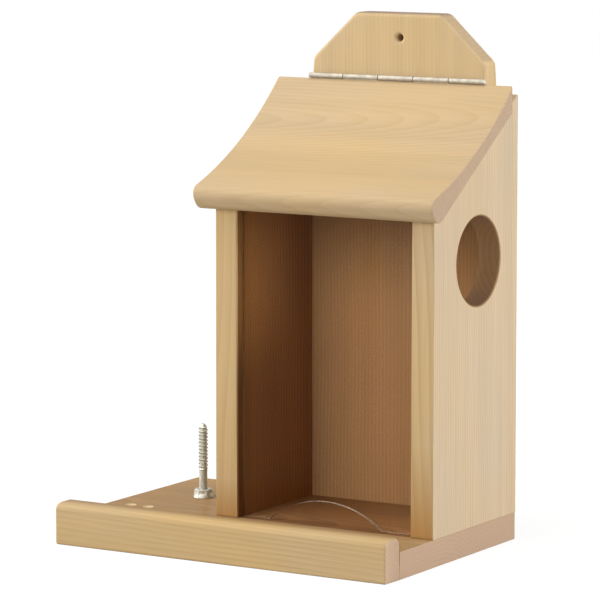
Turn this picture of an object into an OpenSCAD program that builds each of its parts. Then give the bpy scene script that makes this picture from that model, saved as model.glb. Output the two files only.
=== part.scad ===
// Hanging squirrel feeder: a wooden nut box with a hinged roof, a clear front,
// a round entry hole in one side and an open platform with a corn cob screw.
// Seen from the front, X runs to the right, Y to the back and Z up.
// The origin is on the ground, in the middle of the overall length and depth.

/* [Base and platform] */
// Length of the base board, from the platform's free end to the far side of the box
base_l = 292.5; // [280:0.5:380]
// Depth of the base board behind the front lip
base_d = 181.5; // [165:0.5:240]
// Thickness of the base board
base_t = 21; // [16:0.5:30]
// Thickness of the front lip
lip_t = 21; // [16:0.5:30]
// Height of the front lip above the ground
lip_h = 33; // [24:0.5:60]
// Rounding of the lip's top edges and top corners
lip_round = 6; // [1:0.5:7.5]

/* [Drain holes] */
// Diameter of each drain hole
drain_d = 6; // [3:0.5:9]
// Diameter of the countersink round each drain hole
drain_sink_d = 9.5; // [9.5:0.5:14]
// Distance between the two drain holes
drain_pitch = 16; // [15:1:30]
// Distance of the pair's middle from the platform's free end
drain_from_end = 28; // [25:1:50]
// Distance of the drain holes behind the front lip
drain_from_lip = 53; // [15:1:70]

/* [Box] */
// Width of the box over both sides
box_w = 191; // [160:1:205]
// Thickness of each side
side_t = 19; // [16:0.5:24]
// Depth of each side
side_d = 131.5; // [110:0.5:150]
// Height of the front edge of each side above the base
side_h = 238; // [220:1:320]
// Diameter of the entry hole in the right side
entry_d = 68; // [45:1:76]
// Distance of the entry hole's centre behind the front edge of the side
entry_back = 69; // [60:1:75]
// Height of the entry hole's centre above the base
entry_up = 202.5; // [80:0.5:205]

/* [Back board] */
// Thickness of the back board
back_t = 19; // [16:0.5:24]
// Height of the hanging plate above the back edge of the roof
plate_rise = 52.5; // [48:0.5:90]
// Width cut off each top corner of the hanging plate
corner_w = 39; // [10:0.5:45]
// Height cut off each top corner of the hanging plate
corner_h = 36.5; // [10:0.5:42]
// Diameter of the hanging hole
hang_d = 5; // [4:0.1:10]
// Distance of the hanging hole below the top of the plate
hang_drop = 19; // [10:0.5:30]
// Distance of the hanging hole to the right of the plate's middle
hang_right = 1.5; // [0:0.5:5]

/* [Roof] */
// Slope of the roof's underside and of the sides' top edges, in degrees
roof_pitch = 33.5; // [28:0.5:38]
// Least thickness of the roof, at the bottom of its scooped top
roof_thin = 11.1; // [8:0.1:16]
// Radius of the scooped top
scoop_r = 320; // [280:1:400]
// Distance of the thinnest place from the roof's back edge, along the slope
scoop_from_back = 50.5; // [45:0.5:65]
// Overhang of the nose past the front edges of the sides, along the slope
nose_over = 7.5; // [4:0.1:25]
// Rounding of the nose's upper edge
nose_round_top = 7.5; // [1:0.5:9]
// Rounding of the nose's lower edge
nose_round_low = 10; // [1:0.5:11.5]
// Overhang of the roof past the right side
roof_over_right = 6.5; // [2:0.5:20]
// Overhang of the roof past the left side
roof_over_left = 11; // [2:0.5:20]
// Gap between the closed roof and the sides
seat_gap = 0.3; // [0.3:0.1:1]

/* [Window] */
// Thickness of the window pane
pane_t = 3; // [2:0.5:5]
// Distance of the pane behind the front edges of the sides
pane_setback = 8.5; // [6:0.5:15]
// Depth of the groove that holds the pane in each side
groove_depth = 6; // [3:0.5:8]
// Clearance of the pane on each face and edge inside its grooves
pane_clear = 0.4; // [0.3:0.1:0.8]
// Lift that the closed roof leaves to the pane
pane_lift = 3; // [1:0.5:8]
// Gap between the lifted pane and the closed roof
pane_top_gap = 1; // [0.5:0.5:3]
// Width of the feeding arch at the pane's lower edge
arch_w = 98; // [60:1:120]
// Height of the feeding arch
arch_h = 18; // [8:0.5:30]
// Distance of the arch's middle to the left of the box's middle
arch_left = 3.5; // [0:0.5:8]

/* [Hinge] */
// Number of knuckles, of which the leaf on the back board has one more than the other
knuckle_count = 5; // [3:2:9]
// Diameter of the hinge barrel
barrel_d = 4; // [3.8:0.1:6]
// Diameter of the hinge pin
pin_d = 2; // [1.6:0.1:2.4]
// Radial running clearance of the pin in the knuckles
pin_clear = 0.05; // [0.02:0.01:0.1]
// Clearance between knuckles
knuckle_gap = 0.6; // [0.3:0.05:0.8]
// Clearance of the barrel from the wood
barrel_clear = 0.3; // [0.3:0.05:0.6]
// Thickness of each leaf
leaf_t = 1; // [0.8:0.1:1.6]
// Gap between the closed leaves
leaf_gap = 0.4; // [0.3:0.1:1]
// Reach of each leaf below the pin
leaf_h = 17; // [15:0.5:20]
// Overhang of the hinge past each edge of the hanging plate
hinge_over = 1.5; // [0:0.5:4]
// Number of screws in each leaf
leaf_screw_count = 4; // [2:1:8]
// Distance of the leaf screws below the pin
leaf_screw_drop = 13; // [12.5:0.5:14]
// Distance of the outer leaf screws from the ends of the hinge
leaf_screw_margin = 14; // [8:1:30]
// Length of the leaf screws
leaf_screw_l = 8; // [5:0.5:9]
// Diameter of the leaf screws
leaf_screw_d = 2.4; // [2:0.1:3]
// Head diameter of the leaf screws
leaf_head_d = 4.2; // [4:0.1:5]

/* [Corn cob screw] */
// Distance of the screw from the left side of the box
cob_from_side = 49.5; // [30:0.5:60]
// Distance of the screw from the back edge of the platform
cob_from_back = 72.5; // [30:0.5:110]
// Height of the screw's point above the platform
cob_rise = 59.5; // [54:0.5:100]
// Length of the threaded part, point included
cob_thread_l = 38; // [20:1:40]
// Length of the point
cob_tip_l = 5.5; // [3:0.5:10]
// Pitch of the thread
cob_pitch = 2.8; // [2:0.1:4]
// Diameter over the thread
cob_thread_d = 8.2; // [7:0.1:10]
// Diameter at the bottom of the thread
cob_root_d = 6.2; // [4:0.1:6.5]
// Diameter of the smooth shank
cob_shank_d = 6.6; // [6:0.1:8]
// Height of the flange nut
flange_nut_h = 7; // [6:0.5:10]
// Diameter of the nut's flange
flange_d = 16; // [15.5:0.5:22]
// Width of both nuts across their flats
nut_af = 12.7; // [11:0.1:13]
// Diameter of the washer under the platform
washer_d = 18; // [15.5:0.5:20]
// Thickness of the washer
washer_t = 1.6; // [1:0.1:2.5]
// Height of the lower nut
lower_nut_h = 6; // [4:0.5:7]
// Length of screw that shows below the lower nut
cob_end_l = 1.5; // [0.5:0.5:3]
// Height of the screw's lower end above the ground
cob_recess = 1; // [0.5:0.5:3]
// Diameter of the counterbore for the washer and the lower nut
counterbore_d = 22; // [20.5:0.5:26]

/* [Screws and dowels] */
// Length of the base screws
base_screw_l = 40; // [30:1:50]
// Diameter of the base screws
base_screw_d = 4.2; // [3:0.1:5]
// Head diameter of the base screws
base_head_d = 8.2; // [7:0.1:10]
// Depth of the base screws' heads below the base's underside
base_head_sink = 0.8; // [0.5:0.1:3]
// Distance of the base screws from the corners of what they hold
base_screw_margin = 30; // [20:1:40]
// Diameter of the dowels
dowel_d = 8; // [5:0.5:10]
// Length of the dowels
dowel_l = 30; // [24:1:40]
// Depth of the dowels in the sides and in the lip
dowel_seat = 11; // [8:0.5:13]
// Number of dowels in each side
side_dowel_count = 3; // [2:1:5]
// Distance of the outer side dowels from the ends of the joint
side_dowel_margin = 45; // [30:1:60]
// Number of dowels in the lip
lip_dowel_count = 4; // [2:1:6]
// Distance of the outer lip dowels from the ends of the lip
lip_dowel_margin = 36; // [20:1:60]
// Room left at each end of a dowel
dowel_room = 0.8; // [0.5:0.1:1.5]
// Radial clearance of screws, nuts and dowels in their holes
fit_clear = 0.05; // [0.02:0.01:0.1]
// Radial clearance of the corn cob screw in the base
bolt_clear = 0.3; // [0.1:0.1:0.8]

/* [Hidden] */
$fn = 96;

// Length by which a cut reaches past the surface that it opens
past = 1;

// Colours
board_colour = [0.84, 0.70, 0.48];
lip_colour = [0.80, 0.66, 0.44];
roof_colour = [0.88, 0.74, 0.53];
dowel_colour = [0.80, 0.64, 0.44];
pane_colour = [0.85, 0.92, 0.95, 0.35];
zinc_colour = [0.80, 0.80, 0.77];
steel_colour = [0.66, 0.67, 0.68];

// Places along X
right_x = (base_l - roof_over_right) / 2;
end_x = right_x - base_l;
left_x = right_x - box_w;
box_mid_x = right_x - box_w / 2;
inner_w = box_w - 2 * side_t;
inner_left_x = left_x + side_t;
inner_right_x = right_x - side_t;
roof_w = box_w + roof_over_left + roof_over_right;
cob_x = left_x - cob_from_side;

// Places along Y
back_y = (lip_t + base_d) / 2;
front_y = -back_y;
lip_back_y = front_y + lip_t;
side_front_y = back_y - side_d;
back_front_y = back_y - back_t;
back_mid_y = back_y - back_t / 2;
pane_front_y = side_front_y + pane_setback;
cob_y = back_y - cob_from_back;
roof_back_y = back_front_y - 2 * leaf_t - leaf_gap;

// Height of the roof's underside above the ground at a given Y
function underside_z(y) = base_t + side_h + seat_gap + (y - side_front_y) * tan(roof_pitch);
// Height of the sides' top edge above the ground at a given Y
function side_top_z(y) = underside_z(y) - seat_gap;

// Roof profile: u runs forward along the underside from the back edge, v is square to it
roof_len = (roof_back_y - side_front_y) / cos(roof_pitch) + nose_over;
scoop_centre = [scoop_from_back, roof_thin + scoop_r];
function scoop_v(u) = scoop_centre.y - sqrt(scoop_r ^ 2 - (u - scoop_centre.x) ^ 2);
plumb_mid = scoop_centre.y * cos(roof_pitch) - scoop_centre.x * sin(roof_pitch);
roof_back_h = plumb_mid - sqrt(plumb_mid ^ 2 - scoop_centre * scoop_centre + scoop_r ^ 2);
stock_t = max(scoop_v(roof_len), roof_back_h * cos(roof_pitch)) + past;

// Heights
roof_back_z = underside_z(roof_back_y);
roof_top_z = roof_back_z + roof_back_h;
plate_top_z = roof_top_z + plate_rise;
hang_z = plate_top_z - hang_drop;
entry_y = side_front_y + entry_back;
entry_z = base_t + entry_up;
pane_top_z = underside_z(pane_front_y) - pane_lift - pane_top_gap;
arch_r = (arch_w ^ 2 / 4 + arch_h ^ 2) / (2 * arch_h);

// Hinge
barrel_r = barrel_d / 2;
pin_y = back_front_y - barrel_r - barrel_clear;
pin_z = roof_top_z + barrel_r + barrel_clear;
hinge_l = inner_w + 2 * hinge_over;
hinge_x = box_mid_x - hinge_l / 2;
knuckle_pitch = hinge_l / knuckle_count;
leaf_screw_z = pin_z - leaf_screw_drop;

// Corn cob screw and what clamps it
counterbore_h = cob_recess + cob_end_l + lower_nut_h + washer_t;
lower_nut_z = cob_recess + cob_end_l;
cob_tip_z = base_t + cob_rise;
cob_thread_z = cob_tip_z - cob_thread_l;
ridge_count = floor((cob_thread_l - cob_tip_l) / cob_pitch);

// Evenly spaced places from one end to the other
function spaced(from, to, count) = [for (i = [0 : count - 1]) from + (to - from) * i / (count - 1)];

leaf_screw_xs = spaced(
    hinge_x + leaf_screw_margin, hinge_x + hinge_l - leaf_screw_margin, leaf_screw_count
);
side_dowel_zs = spaced(
    base_t + side_dowel_margin, side_top_z(back_mid_y) - side_dowel_margin, side_dowel_count
);
lip_dowel_xs = spaced(end_x + lip_dowel_margin, right_x - lip_dowel_margin, lip_dowel_count);
side_screw_places = [
    for (x = [left_x + side_t / 2, right_x - side_t / 2])
        for (y = [side_front_y + base_screw_margin, back_front_y - base_screw_margin]) [x, y]
];
back_screw_places = [
    for (x = [inner_left_x + base_screw_margin, inner_right_x - base_screw_margin]) [x, back_mid_y]
];

// Countersunk screw along +Z with the flat of its head at the origin
module countersunk_screw(l, d, head_d) {
    head_h = (head_d - d) / 2;
    slot_w = head_d / 8;
    slot_l = head_d * 0.55;
    difference() {
        rotate_extrude()
            polygon([[0, 0], [head_d / 2, 0], [d / 2, head_h], [d / 2, l - d], [0, l]]);
        for (turn = [0, 90])
            rotate([0, 0, turn])
                translate([-slot_l / 2, -slot_w / 2, -past])
                    cube([slot_l, slot_w, past + head_h * 0.7]);
    }
}

// Hole for a countersunk screw, open by the given depth behind its head
module screw_hole(l, d, head_d, open) {
    r = d / 2 + fit_clear;
    head_r = head_d / 2 + fit_clear;
    rotate_extrude()
        polygon([[0, -open], [head_r, -open], [head_r, 0], [r, head_r - r], [r, l - d], [0, l + r]]);
}

// Dowel along +Z from the origin, with chamfered ends
module dowel() {
    r = dowel_d / 2;
    chamfer = dowel_d / 8;
    rotate_extrude()
        polygon([
            [0, 0], [r - chamfer, 0], [r, chamfer],
            [r, dowel_l - chamfer], [r - chamfer, dowel_l], [0, dowel_l]
        ]);
}

// Hole for a dowel, with room at both ends
module dowel_hole() {
    translate([0, 0, -dowel_room])
        cylinder(d = dowel_d + 2 * fit_clear, h = dowel_l + 2 * dowel_room);
}

// Places of the dowels between one side and the back board; way is -1 on the left, 1 on the right
module at_side_dowels(way) {
    inner_x = way < 0 ? inner_left_x : inner_right_x;
    for (z = side_dowel_zs)
        translate([inner_x + way * dowel_seat, back_mid_y, z])
            rotate([0, -90 * way, 0])
                children();
}

// Places of the dowels between the lip and the base
module at_lip_dowels() {
    for (x = lip_dowel_xs)
        translate([x, lip_back_y - dowel_seat, base_t / 2])
            rotate([-90, 0, 0])
                children();
}

// Places of base screws, given as points on the ground
module at_base_screws(places) {
    for (p = places)
        translate([p.x, p.y, base_head_sink])
            children();
}

// Places of the screws of one leaf; way is 1 into the back board, -1 into the roof
module at_leaf_screws(way) {
    face_y = way > 0 ? back_front_y - leaf_t : roof_back_y + leaf_t;
    for (x = leaf_screw_xs)
        translate([x, face_y, leaf_screw_z])
            rotate([-90 * way, 0, 0])
                children();
}

module leaf_screw_hole() {
    screw_hole(leaf_screw_l, leaf_screw_d, leaf_head_d, past);
}

module base_screw_hole() {
    screw_hole(base_screw_l, base_screw_d, base_head_d, base_head_sink + past);
}

module base_board() {
    color(board_colour)
        difference() {
            drain_x = end_x + drain_from_end;
            sink_h = (drain_sink_d - drain_d) / 2;
            translate([end_x, lip_back_y, 0])
                cube([base_l, base_d, base_t]);
            for (side = [-1, 1])
                translate([drain_x + side * drain_pitch / 2, lip_back_y + drain_from_lip, 0]) {
                    translate([0, 0, -past])
                        cylinder(d = drain_d, h = base_t + 2 * past);
                    translate([0, 0, base_t - sink_h])
                        cylinder(d1 = drain_d, d2 = drain_sink_d + 2 * past, h = sink_h + past);
                }
            translate([cob_x, cob_y, -past]) {
                cylinder(d = cob_shank_d + 2 * bolt_clear, h = base_t + 2 * past);
                cylinder(d = counterbore_d, h = counterbore_h + past);
            }
            at_base_screws(side_screw_places)
                base_screw_hole();
            at_base_screws(back_screw_places)
                base_screw_hole();
            at_lip_dowels()
                dowel_hole();
        }
}

// Rectangle with its two upper corners rounded
module round_topped(w, h, r) {
    square([w, h - r]);
    translate([r, 0])
        square([w - 2 * r, h]);
    for (x = [r, w - r])
        translate([x, h - r])
            circle(r);
}

module front_lip() {
    color(lip_colour)
        difference() {
            intersection() {
                translate([end_x, front_y, 0])
                    rotate([90, 0, 90])
                        linear_extrude(base_l)
                            round_topped(lip_t, lip_h, lip_round);
                translate([end_x, lip_back_y + past, 0])
                    rotate([90, 0, 0])
                        linear_extrude(lip_t + 2 * past)
                            round_topped(base_l, lip_h, lip_round);
            }
            at_lip_dowels()
                dowel_hole();
        }
}

// One side with its window groove; way is -1 on the left, 1 on the right
module side_board(way) {
    outer_x = way < 0 ? left_x : inner_right_x;
    groove_x = way < 0 ? inner_left_x - groove_depth : inner_right_x - past;
    difference() {
        translate([outer_x, 0, 0])
            rotate([90, 0, 90])
                linear_extrude(side_t)
                    polygon([
                        [side_front_y, base_t], [back_y, base_t],
                        [back_y, side_top_z(back_y)], [side_front_y, side_top_z(side_front_y)]
                    ]);
        translate([groove_x, pane_front_y - pane_clear, base_t - past])
            cube([groove_depth + past, pane_t + 2 * pane_clear, side_top_z(back_y)]);
        at_side_dowels(way)
            dowel_hole();
        at_base_screws(side_screw_places)
            base_screw_hole();
    }
}

module left_side() {
    color(board_colour)
        side_board(-1);
}

module right_side() {
    color(board_colour)
        difference() {
            side_board(1);
            translate([inner_right_x - past, entry_y, entry_z])
                rotate([0, 90, 0])
                    cylinder(d = entry_d, h = side_t + 2 * past);
        }
}

module back_board() {
    color(board_colour)
        difference() {
            translate([0, back_y, 0])
                rotate([90, 0, 0])
                    linear_extrude(back_t)
                        polygon([
                            [inner_left_x, base_t], [inner_right_x, base_t],
                            [inner_right_x, plate_top_z - corner_h], [inner_right_x - corner_w, plate_top_z],
                            [inner_left_x + corner_w, plate_top_z], [inner_left_x, plate_top_z - corner_h]
                        ]);
            translate([box_mid_x + hang_right, back_y + past, hang_z])
                rotate([90, 0, 0])
                    cylinder(d = hang_d, h = back_t + 2 * past);
            at_side_dowels(-1)
                dowel_hole();
            at_side_dowels(1)
                dowel_hole();
            at_base_screws(back_screw_places)
                base_screw_hole();
            at_leaf_screws(1)
                leaf_screw_hole();
        }
}

// End profile of the roof in its own u and v
module roof_profile() {
    top_u = roof_len - nose_round_top;
    top_drop = sqrt((scoop_r + nose_round_top) ^ 2 - (top_u - scoop_centre.x) ^ 2);
    top_round = [top_u, scoop_centre.y - top_drop];
    away = (scoop_centre - top_round) / norm(scoop_centre - top_round);
    difference() {
        polygon([[0, 0], [roof_len, 0], [roof_len, stock_t], [-stock_t * tan(roof_pitch), stock_t]]);
        translate(scoop_centre)
            circle(scoop_r, $fn = 720);
        difference() {
            polygon([
                top_round, [roof_len + past, top_round.y], [roof_len + past, stock_t + past],
                top_round + away * (nose_round_top + past)
            ]);
            translate(top_round)
                circle(nose_round_top);
        }
        translate([roof_len - nose_round_low, 0])
            difference() {
                translate([0, -past])
                    square([nose_round_low + past, nose_round_low + past]);
                translate([0, nose_round_low])
                    circle(nose_round_low);
            }
    }
}

module roof() {
    color(roof_colour)
        difference() {
            translate([right_x + roof_over_right, roof_back_y, roof_back_z])
                rotate([roof_pitch, 0, 0])
                    rotate([90, 0, -90])
                        linear_extrude(roof_w)
                            roof_profile();
            at_leaf_screws(-1)
                leaf_screw_hole();
        }
}

module window_pane() {
    pane_left_x = inner_left_x - groove_depth + pane_clear;
    pane_w = inner_w + 2 * (groove_depth - pane_clear);
    color(pane_colour)
        difference() {
            translate([pane_left_x, pane_front_y, base_t])
                cube([pane_w, pane_t, pane_top_z - base_t]);
            translate([box_mid_x - arch_left, pane_front_y - past, base_t + arch_h - arch_r])
                rotate([-90, 0, 0])
                    cylinder(r = arch_r, h = pane_t + 2 * past);
        }
}

// Hinge leaf whose plate starts at plate_y; it owns every second knuckle from the first given
module hinge_leaf(plate_y, first) {
    plate_z = pin_z - leaf_h;
    difference() {
        union() {
            translate([hinge_x, plate_y, plate_z])
                cube([hinge_l, leaf_t, leaf_h - barrel_r - knuckle_gap]);
            for (i = [first : 2 : knuckle_count - 1])
                translate([hinge_x + i * knuckle_pitch + knuckle_gap / 2, 0, 0]) {
                    translate([0, plate_y, plate_z])
                        cube([knuckle_pitch - knuckle_gap, leaf_t, leaf_h]);
                    translate([0, pin_y, pin_z])
                        rotate([0, 90, 0])
                            cylinder(d = barrel_d, h = knuckle_pitch - knuckle_gap);
                }
        }
        translate([hinge_x - past, pin_y, pin_z])
            rotate([0, 90, 0])
                cylinder(r = pin_d / 2 + pin_clear, h = hinge_l + 2 * past);
    }
}

module hinge_leaf_back() {
    color(zinc_colour)
        difference() {
            hinge_leaf(back_front_y - leaf_t, 0);
            at_leaf_screws(1)
                leaf_screw_hole();
        }
}

module hinge_leaf_roof() {
    color(zinc_colour)
        difference() {
            hinge_leaf(roof_back_y, 1);
            at_leaf_screws(-1)
                leaf_screw_hole();
        }
}

module hinge_pin() {
    color(steel_colour)
        translate([hinge_x, pin_y, pin_z])
            rotate([0, 90, 0])
                cylinder(d = pin_d, h = hinge_l);
}

module hinge_screws_back() {
    color(steel_colour)
        at_leaf_screws(1)
            countersunk_screw(leaf_screw_l, leaf_screw_d, leaf_head_d);
}

module hinge_screws_roof() {
    color(steel_colour)
        at_leaf_screws(-1)
            countersunk_screw(leaf_screw_l, leaf_screw_d, leaf_head_d);
}

// Hanger bolt with a wood thread above the platform
module cob_screw() {
    shank_r = cob_shank_d / 2;
    root_r = cob_root_d / 2;
    crest_r = cob_thread_d / 2;
    end_chamfer = cob_shank_d / 10;
    // Rounded point, given by its radius at shares of its length
    point = [
        for (p = [[1, 0], [0.93, 0.3], [0.78, 0.6], [0.5, 0.85], [0, 1]])
            [p.x * root_r, cob_tip_z - (1 - p.y) * cob_tip_l]
    ];
    ridges = [
        for (i = [0 : ridge_count - 1])
            for (p = [[root_r, 0.2], [crest_r, 0.5], [crest_r, 0.6], [root_r, 0.9]])
                [p.x, cob_thread_z + (i + p.y) * cob_pitch]
    ];
    color(zinc_colour)
        translate([cob_x, cob_y, 0])
            rotate_extrude()
                polygon(concat(
                    [[0, cob_recess], [shank_r - end_chamfer, cob_recess]],
                    [[shank_r, cob_recess + end_chamfer], [shank_r, cob_thread_z]],
                    ridges,
                    point
                ));
}

// Hexagonal nut on the ground with its upper corners bevelled
module hex_nut(h) {
    corner_d = nut_af / cos(30);
    intersection() {
        cylinder(d = corner_d, h = h, $fn = 6);
        cylinder(d1 = corner_d + 2 * h, d2 = nut_af * 0.96, h = h);
    }
}

module nut_bore(h) {
    translate([0, 0, -past])
        cylinder(r = cob_shank_d / 2 + fit_clear, h = h + 2 * past);
}

module cob_flange_nut() {
    rim_h = flange_nut_h / 6;
    cone_h = flange_nut_h / 2;
    color(zinc_colour)
        translate([cob_x, cob_y, base_t])
            difference() {
                union() {
                    hex_nut(flange_nut_h);
                    cylinder(d = flange_d, h = rim_h);
                    translate([0, 0, rim_h])
                        cylinder(d1 = flange_d, d2 = nut_af, h = cone_h - rim_h);
                }
                nut_bore(flange_nut_h);
            }
}

module cob_washer() {
    color(zinc_colour)
        translate([cob_x, cob_y, lower_nut_z + lower_nut_h])
            difference() {
                cylinder(d = washer_d, h = washer_t);
                nut_bore(washer_t);
            }
}

module cob_lower_nut() {
    color(zinc_colour)
        translate([cob_x, cob_y, lower_nut_z + lower_nut_h])
            mirror([0, 0, 1])
                difference() {
                    hex_nut(lower_nut_h);
                    nut_bore(lower_nut_h);
                }
}

module base_screws_sides() {
    color(steel_colour)
        at_base_screws(side_screw_places)
            countersunk_screw(base_screw_l, base_screw_d, base_head_d);
}

module base_screws_back() {
    color(steel_colour)
        at_base_screws(back_screw_places)
            countersunk_screw(base_screw_l, base_screw_d, base_head_d);
}

module left_side_dowels() {
    color(dowel_colour)
        at_side_dowels(-1)
            dowel();
}

module right_side_dowels() {
    color(dowel_colour)
        at_side_dowels(1)
            dowel();
}

module lip_dowels() {
    color(dowel_colour)
        at_lip_dowels()
            dowel();
}

base_board();
front_lip();
left_side();
right_side();
back_board();
roof();
window_pane();
hinge_leaf_back();
hinge_leaf_roof();
hinge_pin();
hinge_screws_back();
hinge_screws_roof();
cob_screw();
cob_flange_nut();
cob_washer();
cob_lower_nut();
base_screws_sides();
base_screws_back();
left_side_dowels();
right_side_dowels();
lip_dowels();
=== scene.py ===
"""Looks of a hanging squirrel feeder, built round its packed frame.

Dresses the boards, the window, the hinge and the corn cob screw, gives every piece its
finish and sets the stage. Lengths are in metres, X runs right, Y back and Z up.
"""

import math

import bmesh
import bpy
from mathutils import Matrix, Vector
from mathutils.geometry import tessellate_polygon


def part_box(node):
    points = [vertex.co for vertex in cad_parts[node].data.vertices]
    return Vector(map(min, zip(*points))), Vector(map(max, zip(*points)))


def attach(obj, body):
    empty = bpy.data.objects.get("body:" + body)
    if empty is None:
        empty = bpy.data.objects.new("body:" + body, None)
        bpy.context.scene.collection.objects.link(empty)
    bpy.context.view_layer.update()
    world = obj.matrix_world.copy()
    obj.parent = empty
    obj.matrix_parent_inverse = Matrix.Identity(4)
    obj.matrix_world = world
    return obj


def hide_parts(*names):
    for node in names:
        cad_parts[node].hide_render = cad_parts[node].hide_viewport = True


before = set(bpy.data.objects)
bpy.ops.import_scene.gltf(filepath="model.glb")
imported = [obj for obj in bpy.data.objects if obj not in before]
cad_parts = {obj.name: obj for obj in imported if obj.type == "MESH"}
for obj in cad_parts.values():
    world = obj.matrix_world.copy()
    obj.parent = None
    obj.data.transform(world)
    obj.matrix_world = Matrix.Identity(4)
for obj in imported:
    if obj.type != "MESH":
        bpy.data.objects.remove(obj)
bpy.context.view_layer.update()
BOX = {name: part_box(name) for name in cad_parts}

bl_info = {
    "name": "Squirrel Feeder",
    "version": (1, 0, 0),
    "blender": (4, 5, 0),
    "location": "3D View > Sidebar > Feeder",
    "description": "Dresses the frame of a hanging squirrel feeder and sets its stage",
    "category": "Object",
}

# Turn between two edges of an outline above which their corner is rounded
SHARP_TURN = math.radians(15)
# Angle between two faces above which their edge is drawn as a crease
CREASE = math.radians(40)
# Distance below which two points count as one
MERGE = 2e-6
# Length by which a cut reaches past the surface that it opens
PAST = 0.001
# Least height between two rings of a cutter
RING_STEP = 1e-5
# Width of a fixing's shank as a share of its head's width
WOOD_SCREW = 0.52
HINGE_SCREW = 0.58
DOWEL = 1.0
# Scratches in a metre of metal, counted across them and along them
SCRATCHES_ACROSS = 2400.0
SCRATCHES_ALONG = 60.0
# Turn to the right of the front and height of each lamp, in degrees
LAMPS = {"right": (110, 8), "left": (-70, 8), "front": (-4, 20), "high": (-40, 55), "top": (0, 85)}
# Width of the camera's sensor in millimetres
SENSOR_WIDTH = 36.0
# Planes in which outlines are drawn: seen from the right end, and seen from the front
END_PLANE = Matrix(((0, 0, 1, 0), (1, 0, 0, 0), (0, 1, 0, 0), (0, 0, 0, 1)))
FRONT_PLANE = Matrix(((1, 0, 0, 0), (0, 0, -1, 0), (0, 1, 0, 0), (0, 0, 0, 1)))


def srgb(red, green, blue):
    """Linear colour of a screen colour given in steps of 0 to 255."""
    shares = (red / 255, green / 255, blue / 255)
    return tuple(s / 12.92 if s <= 0.04045 else ((s + 0.055) / 1.055) ** 2.4 for s in shares)


def number(name, description, default, **kind):
    return bpy.props.FloatProperty(name=name, description=description, default=default, **kind)


def length(name, description, default):
    return number(name, description, default, min=0.0, precision=5, unit="LENGTH")


def angle(name, description, degrees):
    return number(name, description, math.radians(degrees), subtype="ANGLE")


def share(name, description, default):
    return number(name, description, default, min=0.0, max=1.0, subtype="FACTOR")


def power(name, description, default):
    return number(name, description, default, min=0.0, unit="POWER")


def colour(name, description, default):
    return bpy.props.FloatVectorProperty(
        name=name, description=description, default=default, min=0.0, max=1.0, subtype="COLOR"
    )


def spot(name, description, default):
    return bpy.props.FloatVectorProperty(
        name=name, description=description, default=default, subtype="TRANSLATION", unit="LENGTH"
    )


class FeederBoards(bpy.types.PropertyGroup):
    """Edges and holes of the boards."""

    edge_ease: length("Edge Easing", "Rounding of a board's free edges", 0.0012)
    joint_ease: length("Joint Easing", "Rounding of edges that meet another board", 0.0002)
    base_ease: length("Base Easing", "Rounding of the base's free edges", 0.0008)
    corner_round: length("Corner Rounding", "Rounding of a board's free corners", 0.0022)
    back_corner: length("Back Corner", "Rounding of the corners at the back", 0.0013)
    foot_corner: length("Foot Corner", "Rounding of the corners at an upright board's foot", 0.001)
    plate_round: length("Plate Rounding", "Rounding of the hanging plate's corners", 0.008)
    plate_ease: length("Plate Easing", "Rounding of the hanging plate's edges", 0.003)
    lip_round: length("Lip Rounding", "Rounding of the front lip's upper edges", 0.006)
    lip_foot: length("Lip Foot", "Rounding of the front lip's lower edges", 0.0018)
    lip_end: length("Lip End", "Rounding round the ends of the front lip", 0.0016)
    lip_corner: length("Lip Corner", "Rounding of the front lip's upper end corners", 0.0038)
    entry_diameter: length("Entry Hole", "Diameter of the entry hole", 0.068)
    entry_back: length("Entry Back", "Entry hole's centre behind the side's front edge", 0.069)
    entry_up: length("Entry Up", "Entry hole's centre above the base", 0.2025)
    hang_diameter: length("Hanging Hole", "Diameter of the hanging hole", 0.005)
    hang_drop: length("Hanging Drop", "Hanging hole below the top of the plate", 0.019)
    hang_right: length("Hanging Right", "Hanging hole right of the plate's middle", 0.0015)
    plate_cut_width: length("Plate Cut Width", "Width cut off the plate's corners", 0.039)
    plate_cut_height: length("Plate Cut Height", "Height cut off the plate's corners", 0.0365)
    drain_diameter: length("Drain Hole", "Diameter of each drain hole", 0.006)
    drain_sink: length("Drain Countersink", "Diameter of each drain hole's countersink", 0.0095)
    drain_pitch: length("Drain Pitch", "Distance between the drain holes", 0.016)
    drain_from_end: length("Drain From End", "Middle of the drain holes from the free end", 0.028)
    drain_from_lip: length("Drain From Lip", "Drain holes behind the front lip", 0.053)
    counterbore: length("Counterbore", "Diameter of the recess under the cob screw", 0.022)
    bolt_clear: length("Bolt Clearance", "Radial clearance of the cob screw in the base", 0.0003)


class FeederRoof(bpy.types.PropertyGroup):
    """Shape of the scooped roof."""

    pitch: angle("Pitch", "Slope of the roof's underside", 33.5)
    seat_gap: length("Seat Gap", "Gap between the closed roof and the sides", 0.0003)
    thin: length("Least Thickness", "Thickness at the bottom of the scoop", 0.0111)
    scoop_radius: length("Scoop Radius", "Radius of the scooped top", 0.320)
    scoop_from_back: length("Scoop Place", "Thinnest place from the back edge", 0.0505)
    nose_over: length("Nose Overhang", "Nose past the sides' front edges", 0.0075)
    nose_top: length("Nose Top", "Rounding of the nose's upper edge", 0.0075)
    nose_low: length("Nose Low", "Rounding of the nose's lower edge", 0.010)
    end_ease: length("End Easing", "Rounding round the roof's ends", 0.0014)


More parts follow.
